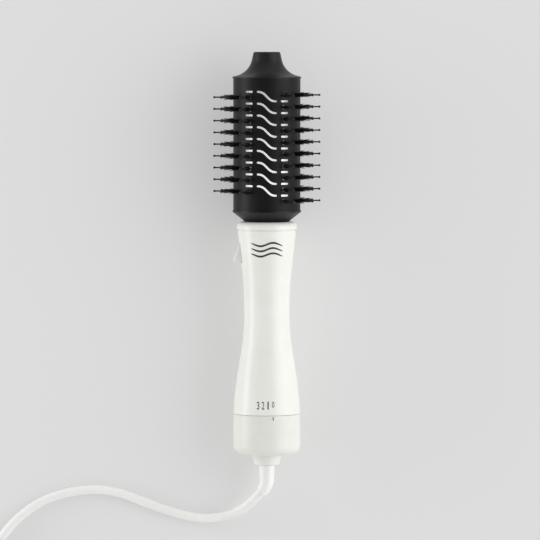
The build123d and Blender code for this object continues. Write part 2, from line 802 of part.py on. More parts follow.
grille_high = grille_low + grille_thick
with BuildPart() as intake_grille:
    with BuildSketch(brush.offset(grille_low)):
        Circle(grille_r)
        Circle(sleeve_out + seat_gap, mode=Mode.SUBTRACT)
        for vent in range(30):
            if min(abs(12 * vent - screw) for screw in base_screw_angles) > 12:
                with BuildLine() as vent_line:
                    PolarLine(Vector(sleeve_out + 3.1, 0).rotate(Axis.Z, 12 * vent),
                              grille_r - sleeve_out - 4.8,
                              angle=12 * vent)
                trace(vent_line.line, line_width=1.3, mode=Mode.SUBTRACT)
    extrude(amount=grille_thick)
    with BuildSketch(brush.offset(grille_high)):
        with PolarLocations(base_screw_r, 3, start_angle=90):
            Circle(2.1)
    extrude(amount=core_low - grille_high)
    with BuildSketch(brush.offset(grille_low)):
        with PolarLocations(base_screw_r, 3, start_angle=90):
            Circle(1.15)
    extrude(amount=core_low, mode=Mode.SUBTRACT)
    with BuildSketch(brush.offset(grille_low)):
        with PolarLocations(base_screw_r, 3, start_angle=90):
            Circle(2.0)
    extrude(amount=0.9, mode=Mode.SUBTRACT)
intake_grille.part.label = "intake_grille"
export_step(intake_grille.part, "parts/intake_grille.step")

with BuildPart() as base_screws:
    with BuildSketch(brush.offset(grille_low)):
        with PolarLocations(base_screw_r, 3, start_angle=90):
            Circle(1.9)
    extrude(amount=0.9)
    with BuildSketch(brush.offset(grille_low)):
        with PolarLocations(base_screw_r, 3, start_angle=90):
            Circle(1.0)
    extrude(amount=10.5)
base_screws.part.label = "base_screws"
export_step(base_screws.part, "parts/base_screws.step")

dust_filter = tube(base_screw_r - 2.7, sleeve_out + 0.2, core_low + 0.2, core_low + 0.8)
dust_filter.part.label = "dust_filter"
export_step(dust_filter.part, "parts/dust_filter.step")

# ---------------------------------------------------------------- cord swivel
chamber_r = stem_r + 1.6
chamber_low = 8.0
swivel_housing = turned([(stem_r + running_gap, boss_end), (boss_end_r - 0.6, boss_end),
                         (boss_end_r, boss_end + 0.6),
                         (boss_r, -0.6), (boss_r, grille_low), (sleeve_out, grille_low), (sleeve_out, 21.0),
                         (chamber_r, 21.0), (chamber_r, chamber_low), (stem_r + running_gap, chamber_low)])
swivel_housing.part.label = "swivel_housing"
export_step(swivel_housing.part, "parts/swivel_housing.step")

swivel_stem = turned([(0, stem_end), (stem_r, stem_end), (stem_r, chamber_low + 0.1),
                      (chamber_r - running_gap, chamber_low + 0.1), (chamber_r - running_gap, 11.0),
                      (stem_r - 1.1, 11.0), (stem_r - 1.1, 20.0), (0, 20.0)])
swivel_stem.part.label = "swivel_stem"
export_step(swivel_stem.part, "parts/swivel_stem.step")

ring_heights = (12.5, 16.0)
with BuildPart() as slip_rings:
    for ring_low in ring_heights:
        with BuildSketch(brush.offset(ring_low)):
            Circle(stem_r - 0.4)
            Circle(stem_r - 1.08, mode=Mode.SUBTRACT)
    extrude(amount=1.5)
slip_rings.part.label = "slip_rings"
export_step(slip_rings.part, "parts/slip_rings.step")

with BuildPart() as contact_brushes:
    for ring_low in ring_heights:
        with BuildSketch(brush.offset(ring_low + 0.3)):
            with Locations((stem_r + 0.55, 0)):
                Rectangle(1.7, 2.0)
    extrude(amount=0.9)
contact_brushes.part.label = "contact_brushes"
export_step(contact_brushes.part, "parts/contact_brushes.step")

# ---------------------------------------------------------------- strain relief and cord
relief_foot = brush.origin + brush.z_dir * relief_straight
onward = -brush.z_dir
aside = -brush.x_dir * cos(radians(relief_drop)) + brush.y_dir * sin(radians(relief_drop))
bend = radians(relief_turn)


def along_bend(turn):
    """Point on the strain relief's bent centre line, after turning by an angle in radians."""
    return relief_foot + aside * (relief_bend_r * (1 - cos(turn))) + onward * (relief_bend_r * sin(turn))


cord_exit = along_bend(bend)
exit_way = onward * cos(bend) + aside * sin(bend)
print(f"cord exit {cord_exit}, direction {exit_way}")

with BuildPart() as strain_relief:
    with BuildSketch(brush.offset(stem_end)):
        Circle(relief_r)
    with BuildSketch(brush.offset(relief_straight)):
        Circle(relief_r - 0.5)
    loft()
    with BuildLine() as bend_line:
        ThreePointArc(relief_foot, along_bend(bend / 2), cord_exit)
    with BuildSketch(Plane(origin=relief_foot, z_dir=onward)):
        Circle(relief_r - 0.5)
    with BuildSketch(Plane(origin=cord_exit, z_dir=exit_way)):
        Circle(relief_end_r)
    sweep(path=bend_line.line, multisection=True)
strain_relief.part.label = "strain_relief"
export_step(strain_relief.part, "parts/strain_relief.step")

route = [cord_exit, cord_exit + exit_way * first_run] + [Vector(*point) for point in cord_points]
runs = [after - before for before, after in zip(route, route[1:])]
bend_radii = []
for before, after in zip(runs, runs[1:]):
    half_turn = radians(before.get_angle(after)) / 2
    bend_radii.append(0.45 * min(before.length, after.length) / tan(half_turn))
print("cord runs", [round(run.length, 1) for run in runs])
print("cord radii", [round(radius, 1) for radius in bend_radii])

with BuildPart() as cord_lead:
    with BuildLine() as lead_path:
        FilletPolyline(*route, radius=bend_radii)
    with BuildSketch(Plane(origin=route[0], z_dir=exit_way)):
        Circle(cord_r)
    sweep(path=lead_path.line)
cord_lead.part.label = "cord_lead"
export_step(cord_lead.part, "parts/cord_lead.step")
lead_length = sum(edge.length for edge in lead_path.line.edges())
lead_fill = cord_lead.part.volume / (pi * cord_r ** 2 * lead_length)
print(f"cord lead {lead_length:.1f} long, its volume over section times length {lead_fill:.5f}")

# The coil's outer turn is tangent to the lead's last run; a straight stub leads in and another leads out.
coil_turn_r = coil_mid_r + cord_r * (coil_columns - 1)
coil_out = coil_turn_r + cord_r
coil_in = coil_turn_r - cord_r * (2 * coil_columns - 1)
stub = sqrt(coil_out ** 2 - (coil_turn_r - cord_r) ** 2) + 0.6
coil_x = route[-1].X + coil_turn_r
coil_y = route[-1].Y - stub
coil_low = route[-1].Z - cord_r
out_y = coil_y - coil_turn_r
out_z = route[-1].Z + 2 * cord_r * (coil_layers - 1)
way_out = stub + 3.0
out_x = coil_x + way_out
with BuildPart() as cord_coil:
    with BuildSketch(Plane.XY.offset(coil_low)):
        with Locations((coil_x, coil_y)):
            Circle(coil_out)
            Circle(coil_in, mode=Mode.SUBTRACT)
    extrude(amount=2 * cord_r * coil_layers)
    with BuildSketch(Plane(origin=route[-1], z_dir=(0, -1, 0))):
        Circle(cord_r)
    extrude(amount=stub)
    with BuildSketch(Plane(origin=(coil_x, out_y, out_z), z_dir=(1, 0, 0))):
        Circle(cord_r)
    extrude(amount=way_out)
cord_coil.part.label = "cord_coil"
export_step(cord_coil.part, "parts/cord_coil.step")
print(f"coil centre {coil_x:.2f} {coil_y:.2f}, way out {out_x:.2f} {out_y:.2f}")
print(f"coil turns {coil_in + cord_r} to {coil_turn_r}")

plug_plane = Plane(origin=(out_x, out_y, out_z), x_dir=(0, 1, 0), z_dir=(1, 0, 0))
plug_pin_places = [(-plug_pin_spacing / 2, 0), (plug_pin_spacing / 2, 0)]
with BuildPart() as plug_body:
    with BuildSketch(plug_plane):
        Circle(cord_r + 0.7)
    with BuildSketch(plug_plane.offset(plug_neck)):
        Circle(cord_r + 2.2)
    loft()
    with BuildSketch(plug_plane.offset(plug_neck)):
        RectangleRounded(20.0, 15.0, 4.0)
    with BuildSketch(plug_plane.offset(plug_neck + plug_length * 0.55)):
        RectangleRounded(plug_width, plug_thick, 6.0)
    loft()
    with BuildSketch(plug_plane.offset(plug_neck + plug_length * 0.55)):
        RectangleRounded(plug_width, plug_thick, 6.0)
    extrude(amount=plug_length * 0.45)
    with BuildSketch(plug_plane.offset(plug_neck + plug_length)):
        with Locations(*plug_pin_places):
            Circle(plug_root_r + 0.02)
    extrude(amount=-plug_root_deep, mode=Mode.SUBTRACT)
plug_body.part.label = "plug_body"
export_step(plug_body.part, "parts/plug_body.step")

with BuildPart() as plug_pins:
    with BuildSketch(plug_plane.offset(plug_neck + plug_length - plug_root_deep)):
        with Locations(*plug_pin_places):
            Circle(plug_root_r)
    extrude(amount=plug_root_deep)
    with BuildSketch(plug_plane.offset(plug_neck + plug_length)):
        with Locations(*plug_pin_places):
            Circle(plug_pin_r)
    extrude(amount=plug_pin_length)
    fillet(plug_pins.edges().group_by(Axis.X)[-1], radius=1.5)
plug_pins.part.label = "plug_pins"
export_step(plug_pins.part, "parts/plug_pins.step")
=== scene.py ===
import json
import math

import bpy
import numpy as np
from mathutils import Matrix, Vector


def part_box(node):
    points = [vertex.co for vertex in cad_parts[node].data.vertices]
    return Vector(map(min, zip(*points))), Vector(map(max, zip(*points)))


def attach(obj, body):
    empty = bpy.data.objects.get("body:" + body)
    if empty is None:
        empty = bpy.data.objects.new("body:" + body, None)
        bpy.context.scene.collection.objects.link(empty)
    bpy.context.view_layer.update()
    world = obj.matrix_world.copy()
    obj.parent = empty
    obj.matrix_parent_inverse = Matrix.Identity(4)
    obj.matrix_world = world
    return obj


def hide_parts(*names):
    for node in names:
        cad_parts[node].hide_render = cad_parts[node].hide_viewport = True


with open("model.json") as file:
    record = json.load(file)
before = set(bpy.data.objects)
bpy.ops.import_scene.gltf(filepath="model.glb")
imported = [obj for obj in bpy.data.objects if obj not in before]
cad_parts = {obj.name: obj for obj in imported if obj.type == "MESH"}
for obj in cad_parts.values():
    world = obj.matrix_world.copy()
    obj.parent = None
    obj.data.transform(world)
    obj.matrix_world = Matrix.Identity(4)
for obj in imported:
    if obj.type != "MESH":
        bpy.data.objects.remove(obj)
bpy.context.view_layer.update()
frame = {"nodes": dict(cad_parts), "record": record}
nodes = frame["nodes"]
print("frame loaded,", len(nodes), "pieces")

# The brush lies on its back, so its axis leans up a little towards the tip.
brush = {"lean": 3.058, "footY": -0.151125, "footZ": 0.025526}
leanCos, leanSin = math.cos(math.radians(brush["lean"])), math.sin(math.radians(brush["lean"]))


# Texture scale for a pattern whose repeat is size millimetres, on coordinates in metres.
def perMm(size):
    return 1000.0 / size


# Points of the brush in the row frame: x sideways, height along the axis from the foot, up out of the
# front. All in mm, arrays.
def inRow(x, height, up):
    x, height, up = np.broadcast_arrays(np.asarray(x, float), height, up)
    y = brush["footY"] * 1000 + height * leanCos - up * leanSin
    z = brush["footZ"] * 1000 + height * leanSin + up * leanCos
    return np.stack([x, y, z], axis=-1) / 1000


# Faces of a grid of rows by columns points, numbered along each row. Closed columns join each row's end
# to its start.
def gridFaces(rows, columns, closeColumns=False):
    r = np.arange(rows - 1)[:, None]
    c = np.arange(columns if closeColumns else columns - 1)[None, :]
    r2, c2 = r + 1, (c + 1) % columns
    corners = (r * columns + c, r * columns + c2, r2 * columns + c2, r2 * columns + c)
    return np.stack(np.broadcast_arrays(*corners), -1).reshape(-1, 4)


# A mesh object from an array of points in metres and a list of faces.
def makeMesh(name, points, faces, smooth=True):
    mesh = bpy.data.meshes.new(name)
    mesh.from_pydata(np.asarray(points).reshape(-1, 3).tolist(), [], [list(face) for face in faces])
    mesh.polygons.foreach_set("use_smooth", np.full(len(mesh.polygons), smooth))
    mesh.update()
    piece = bpy.data.objects.new(name, mesh)
    bpy.context.scene.collection.objects.link(piece)
    return piece


# Applies the piece's modifiers, so that its finished shape is in its mesh.
def settle(piece):
    shown = piece.evaluated_get(bpy.context.evaluated_depsgraph_get())
    piece.data = bpy.data.meshes.new_from_object(shown)
    piece.modifiers.clear()


# Camera straight above, far off with a long lens
camera = {"x": 0.00244, "y": -0.00875, "height": 3.81, "lens": 325.0}
cameraData = bpy.data.cameras.new("camera")
cameraData.lens, cameraData.sensor_width = camera["lens"], 36.0
cameraObject = bpy.data.objects.new("camera", cameraData)
cameraObject.location = (camera["x"], camera["y"], camera["height"])
bpy.context.scene.collection.objects.link(cameraObject)
bpy.context.scene.camera = cameraObject

# The lead: out of the strain relief, over to the left, and put away in a flat two-layer coil
lead = {"diameter": 0.007, "length": 1.8, "low": 3.6, "columnStep": 7.0, "pointsPerTurn": 16,
        "inTurns": 3.0, "outTurns": 3.25, "firstTurn": 48.5, "lastY": -331.9, "leftX": -219.5,
        "plugX": -143.9, "climb": 0.15, "climbEarly": 0.17, "wayOut": 12.0, "pointRadius": 0.001}
leadPoints = [(-3.716, -180.391, 22.227), (-11.0, -188.2, 18.4), (-19.6, -195.3, 13.6), (-32.0, -201.2, 7.4),
              (-50.0, -203.2, 3.6), (-68.0, -199.6, 3.6), (-90.0, -192.3, 3.6), (-122.0, -179.5, 3.6),
              (-155.0, -181.2, 3.6), (-184.0, -192.6, 3.6), (-207.0, -215.2, 3.6), (-219.5, -239.3, 3.6),
              (-219.5, -259.3, 3.6)]


# Turns of the coil, seen from above counter-clockwise from its left side: the radius falls by one
# diameter a turn on the floor, the line climbs one diameter in its last seventh of a turn, then the
# radius grows by one diameter a turn.
def coilPoints():
    shrink = 1 / math.cos(math.pi / lead["pointsPerTurn"])  # a smooth line runs inside its points
    step = 1 / lead["pointsPerTurn"]
    lower = np.arange(0, lead["inTurns"], step)
    upper = np.arange(0, lead["outTurns"] + step / 2, step)
    inner = lead["firstTurn"] - lead["columnStep"] * lead["inTurns"]
    radius = np.concatenate([lead["firstTurn"] - lead["columnStep"] * lower,
                             inner + lead["columnStep"] * upper])
    turn = np.concatenate([lower, lead["inTurns"] + upper])
    climb = np.clip((turn - (lead["inTurns"] - lead["climbEarly"])) / lead["climb"], 0, 1)
    z = lead["low"] + lead["diameter"] * 1000 * climb * climb * (3 - 2 * climb)
    centreX = lead["leftX"] + lead["firstTurn"]
    centreY = lead["lastY"] + radius[-1]
    angle = math.pi + 2 * math.pi * turn
    reach = radius * shrink
    return np.stack([centreX + reach * np.cos(angle), centreY + reach * np.sin(angle), z], -1)


# A smooth curve through the route's points and the coil, round in section.
def makeLead():
    coil = coilPoints()
    wayOut = [(coil[-1][0] + lead["wayOut"], lead["lastY"], coil[-1][2]),
              (lead["plugX"], lead["lastY"], coil[-1][2])]
    route = np.concatenate([np.array(leadPoints), coil, np.array(wayOut)]) / 1000
    curve = bpy.data.curves.new("lead", "CURVE")
    curve.dimensions, curve.resolution_u = "3D", 6
    curve.bevel_depth, curve.bevel_resolution = lead["diameter"] / 2 / lead["pointRadius"], 5
    curve.use_fill_caps = True
    spline = curve.splines.new("NURBS")
    spline.points.add(len(route) - 1)
    spline.points.foreach_set("co", np.c_[route, np.ones(len(route))].ravel())
    spline.points.foreach_set("radius", np.full(len(route), lead["pointRadius"]))  # times the depth above
    spline.order_u, spline.use_endpoint_u = 3, True
    piece = bpy.data.objects.new("lead", curve)
    bpy.context.scene.collection.objects.link(piece)
    return piece


leadPiece = makeLead()
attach(leadPiece, "cord")
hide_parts("cord_lead", "cord_coil")
print("lead laid")

# Floor and light
studio = {"floorColour": "BEBEBE", "floorGlow": 0.27, "floorSide": 6.0, "floorDrop": 0.0002, "leftAir": 0.6,
          "rightAir": 1.15, "overhead": 0.3, "rightPower": 8.0, "rightPlace": (1.45, 0.15, 0.95),
          "rightSize": (1.3, 1.5), "leftPower": 9.0, "leftPlace": (-1.5, 0.0, 0.28), "leftSize": (1.3, 0.42),
          "aim": (0.0, 0.0, 0.02), "openingEdge": 0.72, "openingFull": 0.97}


# sRGB hex to the linear colour that the nodes take, with an alpha of 1.
def linear(hexColour):
    s = np.array([int(hexColour[i:i + 2], 16) / 255 for i in (0, 2, 4)])
    return (*np.where(s <= 0.04045, s / 12.92, ((s + 0.055) / 1.055) ** 2.4).tolist(), 1.0)


# A node of that kind with its settings. An input given as an output is linked, any other is set.
def addNode(tree, kind, inputs=None, **settings):
    node = tree.nodes.new("ShaderNode" + kind)
    for name, value in settings.items():
        setattr(node, name, value)
    for name, value in (inputs or {}).items():
        if isinstance(value, bpy.types.NodeSocket):
            tree.links.new(value, node.inputs[name])
        else:
            node.inputs[name].default_value = value
    return node


# An empty node material, and its tree.
def newMaterial(name):
    material = bpy.data.materials.new(name)
    material.use_nodes = True
    material.node_tree.nodes.clear()
    return material, material.node_tree


floorCorners = np.array([(-1, -1, 0), (1, -1, 0), (1, 1, 0), (-1, 1, 0)]) * studio["floorSide"]
floorPiece = makeMesh("floor", floorCorners - (0, 0, studio["floorDrop"]), [(0, 1, 2, 3)])
floorMaterial, tree = newMaterial("matt paper floor")
shader = addNode(tree, "BsdfPrincipled", {  # a light table, so shadows stay faint
    "Base Color": linear(studio["floorColour"]), "Roughness": 0.9, "Specular IOR Level": 0.1,
    "Emission Color": (1, 1, 1, 1), "Emission Strength": studio["floorGlow"]})
addNode(tree, "OutputMaterial", {"Surface": shader.outputs[0]})
floorPiece.data.materials.append(floorMaterial)


# A flat light of that size in metres that faces the brush.
def softbox(name, place, power, width, height):
    data = bpy.data.lights.new(name, "AREA")
    data.shape, data.size, data.size_y, data.energy = "RECTANGLE", width, height, power
    light = bpy.data.objects.new(name, data)
    light.location = place
    light.rotation_euler = (Vector(studio["aim"]) - Vector(place)).to_track_quat("-Z", "Y").to_euler()
    bpy.context.scene.collection.objects.link(light)


for side in ("right", "left"):
    softbox(side, studio[side + "Place"], studio[side + "Power"], *studio[side + "Size"])
# A white tent, brighter on the right, with a dark opening overhead for the camera.
world = bpy.data.worlds.new("air")
world.use_nodes = True
air = world.node_tree
way = addNode(air, "SeparateXYZ", {"Vector": addNode(air, "TexCoord").outputs["Generated"]})
sides = addNode(air, "MapRange", {"Value": way.outputs["X"], "From Min": -1.0, "From Max": 1.0,
                                  "To Min": studio["leftAir"], "To Max": studio["rightAir"]},
                interpolation_type="SMOOTHSTEP")
opening = addNode(air, "MapRange", {"Value": way.outputs["Z"], "From Min": studio["openingEdge"],
                                    "From Max": studio["openingFull"], "To Min": 1.0,
                                    "To Max": studio["overhead"]},
                  interpolation_type="SMOOTHSTEP")
both = addNode(air, "Math", {0: sides.outputs[0], 1: opening.outputs[0]}, operation="MULTIPLY")
air.links.new(both.outputs[0], air.nodes["Background"].inputs["Strength"])
air.nodes["Background"].inputs["Color"].default_value = (1, 1, 1, 1)
bpy.context.scene.world = world
bpy.context.scene.view_settings.view_transform = "Standard"
print("floor and light placed")


# Finishes, with their sizes in mm. Flow marks, flakes, stains and the lacquer's orange peel are about as
# large as on real parts. Mould grain, drawn streaks, fibres and gauze thread are typically 0.05 to 0.2 mm,
# and are drawn several times as coarse, so that they show.


# The piece's own coordinates in metres, stretched or turned to lay a pattern along it.
def objectPlace(tree, stretch=(1, 1, 1), turn=(0, 0, 0)):
    where = addNode(tree, "TexCoord")
    laid = addNode(tree, "Mapping", {"Vector": where.outputs["Object"], "Scale": stretch, "Rotation": turn})
    return laid.outputs[0]


# Injection-moulded plastic. Broad flow marks tint it, the mould's spark-eroded or polished grain gives the
# roughness and a shallow bump, and rubbing marks about 1 mm wide along the part dull it in places.
def mouldedPlastic(name, looks):
    material, tree = newMaterial(name)
    place = objectPlace(tree)
    alongPart = objectPlace(tree, stretch=(1, 0.12, 1), turn=(0, 0, 0.35))
    flow = addNode(tree, "TexNoise", {"Vector": place, "Scale": perMm(looks["flowMm"]), "Detail": 3.0,
                                      "Roughness": 0.6})
    grain = addNode(tree, "TexNoise", {"Vector": place, "Scale": perMm(looks["grainMm"]), "Detail": 2.0,
                                       "Roughness": 0.55})
    rubbed = addNode(tree, "TexNoise", {"Vector": alongPart, "Scale": perMm(0.9), "Detail": 4.0})
    marks = addNode(tree, "MapRange", {"Value": rubbed.outputs["Fac"], "From Min": 0.58, "From Max": 0.74,
                                       "To Min": 0.0, "To Max": looks["rub"]})
    moulded = addNode(tree, "MapRange", {"Value": grain.outputs["Fac"], "From Min": 0.3, "From Max": 0.7,
                                         "To Min": looks["roughLow"], "To Max": looks["roughHigh"]})
    rough = addNode(tree, "Math", {0: moulded.outputs[0], 1: marks.outputs[0]}, operation="ADD",
                    use_clamp=True)
    share = addNode(tree, "MapRange", {"Value": flow.outputs["Fac"], "From Min": 0.3, "From Max": 0.7})
    colour = addNode(tree, "Mix", {0: share.outputs[0], 6: linear(looks["colour"]), 7: linear(looks["tint"])},
                     data_type="RGBA")
    bump = addNode(tree, "Bump", {"Strength": looks["bump"], "Distance": looks["depthMm"] / 1000,
                                  "Height": grain.outputs["Fac"]})
    shader = addNode(tree, "BsdfPrincipled", {
        "Base Color": colour.outputs[2], "Roughness": rough.outputs[0], "Normal": bump.outputs[0],
        "IOR": looks["ior"], "Specular IOR Level": looks.get("specular", 0.5)})
    # painted light: an emission on the liner that stands in for light seen through the vents, stronger at the
    # handle end than at the tip end
    if "paintedLight" in looks:  # from the handle end of the liner to its tip end
        shader.inputs["Emission Color"].default_value = linear(looks["colour"])
        guideLow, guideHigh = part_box("air_guide")
        lengthways = addNode(tree, "SeparateXYZ", {"Vector": place})
        paintedLightAlong = addNode(tree, "MapRange", {"Value": lengthways.outputs["Y"], "From Min": guideLow[1],
                                          "From Max": guideHigh[1], "To Min": looks["paintedLight"][0],
                                          "To Max": looks["paintedLight"][1]})
        tree.links.new(paintedLightAlong.outputs[0], shader.inputs["Emission Strength"])
    if "under" in looks:  # light that goes a little way into a pale plastic
        shader.inputs["Subsurface Weight"].default_value = looks["under"]
        shader.inputs["Subsurface Radius"].default_value = (0.0012, 0.0010, 0.0008)
        shader.inputs["Subsurface Scale"].default_value = 1.0
    addNode(tree, "OutputMaterial", {"Surface": shader.outputs[0]})
    return material


# Drawn, rolled or turned metal. Fine streaks along one direction vary the roughness and cut a slight bump,
# and broad cloudy stains shift the colour.
def workedMetal(name, looks):
    material, tree = newMaterial(name)
    streak = addNode(tree, "TexNoise", {"Vector": objectPlace(tree, stretch=looks["streak"]),
                                        "Scale": perMm(looks["grainMm"]), "Detail": 3.0})
    stain = addNode(tree, "TexNoise", {"Vector": objectPlace(tree), "Scale": perMm(looks["stainMm"]),
                                       "Detail": 4.0, "Roughness": 0.65})
    share = addNode(tree, "MapRange", {"Value": stain.outputs["Fac"], "From Min": 0.35, "From Max": 0.72})
    colour = addNode(tree, "Mix", {0: share.outputs[0], 6: linear(looks["colour"]), 7: linear(looks["tint"])},
                     data_type="RGBA")
    rough = addNode(tree, "MapRange", {"Value": streak.outputs["Fac"], "From Min": 0.3, "From Max": 0.7,
                                       "To Min": looks["roughLow"], "To Max": looks["roughHigh"]})
    bump = addNode(tree, "Bump", {"Strength": 0.35, "Distance": looks["depthMm"] / 1000,
                                  "Height": streak.outputs["Fac"]})
    shader = addNode(tree, "BsdfPrincipled", {
        "Base Color": colour.outputs[2], "Metallic": 1.0, "Roughness": rough.outputs[0],
        "Normal": bump.outputs[0]})
    addNode(tree, "OutputMaterial", {"Surface": shader.outputs[0]})
    return material


# Pressed sheet such as mica or paper laminate. Flat flakes a millimetre or two wide, each of its own shade,
# and fine fibres all over in the roughness and bump.
def layeredBoard(name, looks):
    material, tree = newMaterial(name)
    place = objectPlace(tree, stretch=looks["streak"])
    flake = addNode(tree, "TexVoronoi", {"Vector": place, "Scale": perMm(looks["flakeMm"])})
    fibre = addNode(tree, "TexNoise", {"Vector": place, "Scale": perMm(0.5), "Detail": 3.0})
    grey = addNode(tree, "RGBToBW", {"Color": flake.outputs["Color"]})
    colour = addNode(tree, "Mix", {0: grey.outputs[0], 6: linear(looks["colour"]), 7: linear(looks["tint"])},
                     data_type="RGBA")
    rough = addNode(tree, "MapRange", {"Value": fibre.outputs["Fac"], "From Min": 0.3, "From Max": 0.7,
                                       "To Min": looks["roughLow"], "To Max": looks["roughHigh"]})
    bump = addNode(tree, "Bump", {"Strength": 0.3, "Distance": 0.00004, "Height": fibre.outputs["Fac"]})
    shader = addNode(tree, "BsdfPrincipled", {
        "Base Color": colour.outputs[2], "Roughness": rough.outputs[0], "Normal": bump.outputs[0]})
    addNode(tree, "OutputMaterial", {"Surface": shader.outputs[0]})
    return material


# Square-woven thread: two sets of threads at right angles, as waves, that set the roughness and the bump, and
# a
# painted sheen in the colour: paler on the crowns, darker in the dips between threads. A wave repeats every
# 0.314 / Scale, so threads lie 0.63 of threadMm apart.
def wovenMesh(name, looks):
    material, tree = newMaterial(name)
    place = objectPlace(tree)
    across, along = [addNode(tree, "TexWave", {"Vector": place, "Scale": perMm(looks["threadMm"]) / 2},
                             bands_direction=way) for way in "XZ"]
    weaveAndPaintedSheen = addNode(tree, "Math", {0: across.outputs["Fac"], 1: along.outputs["Fac"]}, operation="MAXIMUM")
    # painted sheen: the crowns of the threads get a paler colour, the dips between them a darker one
    colour = addNode(tree, "Mix", {0: weaveAndPaintedSheen.outputs[0], 6: linear(looks["colour"]), 7: linear(looks["tint"])},
                     data_type="RGBA")
    rough = addNode(tree, "MapRange", {"Value": weaveAndPaintedSheen.outputs[0], "To Min": 0.85, "To Max": 0.55})
    bump = addNode(tree, "Bump", {"Strength": 0.7, "Distance": 0.0001, "Height": weaveAndPaintedSheen.outputs[0]})
    shader = addNode(tree, "BsdfPrincipled", {
        "Base Color": colour.outputs[2], "Roughness": rough.outputs[0], "Normal": bump.outputs[0]})
    addNode(tree, "OutputMaterial", {"Surface": shader.outputs[0]})
    return material


